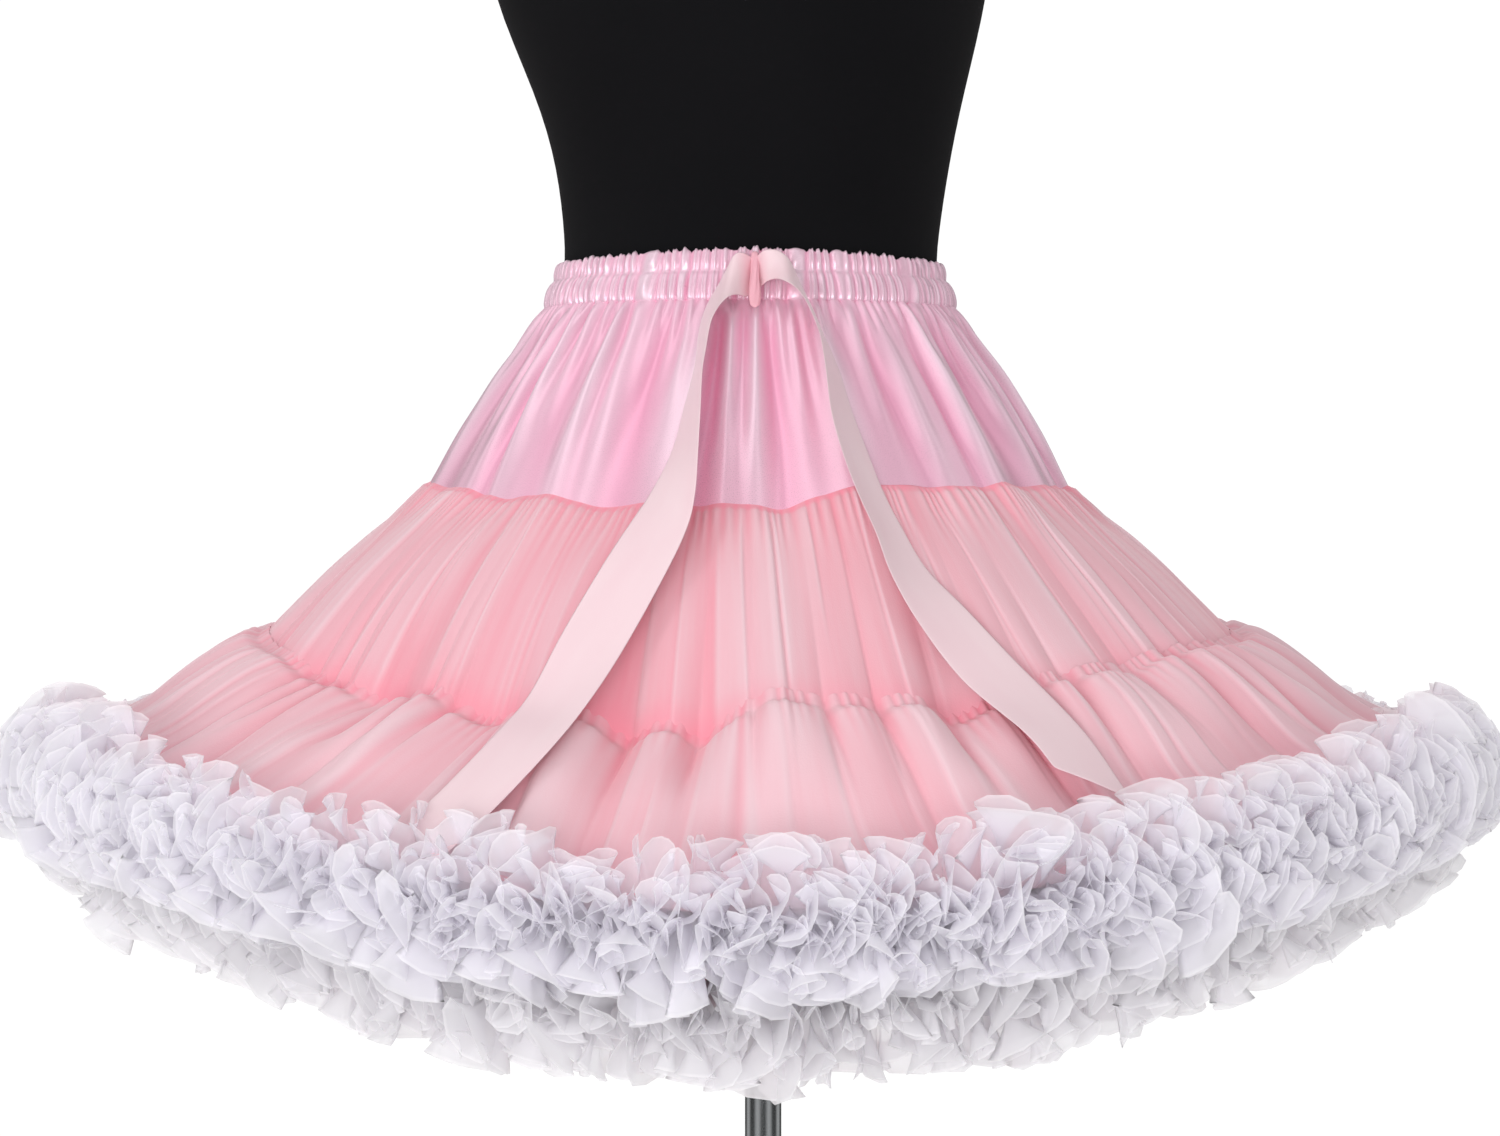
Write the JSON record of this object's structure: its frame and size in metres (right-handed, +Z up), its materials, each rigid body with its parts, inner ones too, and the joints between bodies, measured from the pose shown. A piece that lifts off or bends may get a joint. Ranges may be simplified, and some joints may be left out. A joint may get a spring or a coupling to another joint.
{
  "type": "tulle petticoat skirt on a limbless dress form stand",
  "caption": "Flared two-layer tulle petticoat with a satin yoke, gathered waist, ribbon tie and frilled hems, worn by a dress form on a pole stand.",
  "frame": {"origin": "centre of the round base's underside, on the floor", "axes": "+Z up, -Y to the front of the skirt, +X to the skirt's left as it is worn, which is the viewer's right"},
  "size_m": [0.9753, 0.8251, 1.5323],
  "materials": {
    "pink_satin": "satin",
    "pink_tulle": "sheer matte",
    "white_chiffon": "sheer matte",
    "cream_chiffon": "sheer matte",
    "pale_ribbon": "satin",
    "black_jersey": "matte",
    "chrome_steel": "polished"
  },
  "bodies": {
    "root": {"stand_base": "chrome_steel", "stand_pole": "chrome_steel", "form_torso": "black_jersey", "form_neck_cap": "black_jersey", "waist_casing": "pink_satin", "yoke": "pink_satin", "tier_upper": "pink_tulle", "tier_lower": "pink_tulle", "hem_ruffle": "white_chiffon", "under_tier_upper": "pink_tulle", "under_tier_lower": "pink_tulle", "under_ruffle": "cream_chiffon", "ribbon_left": "pale_ribbon", "ribbon_right": "pale_ribbon", "ribbon_knot": "pale_ribbon"}
  },
  "joints": []
}
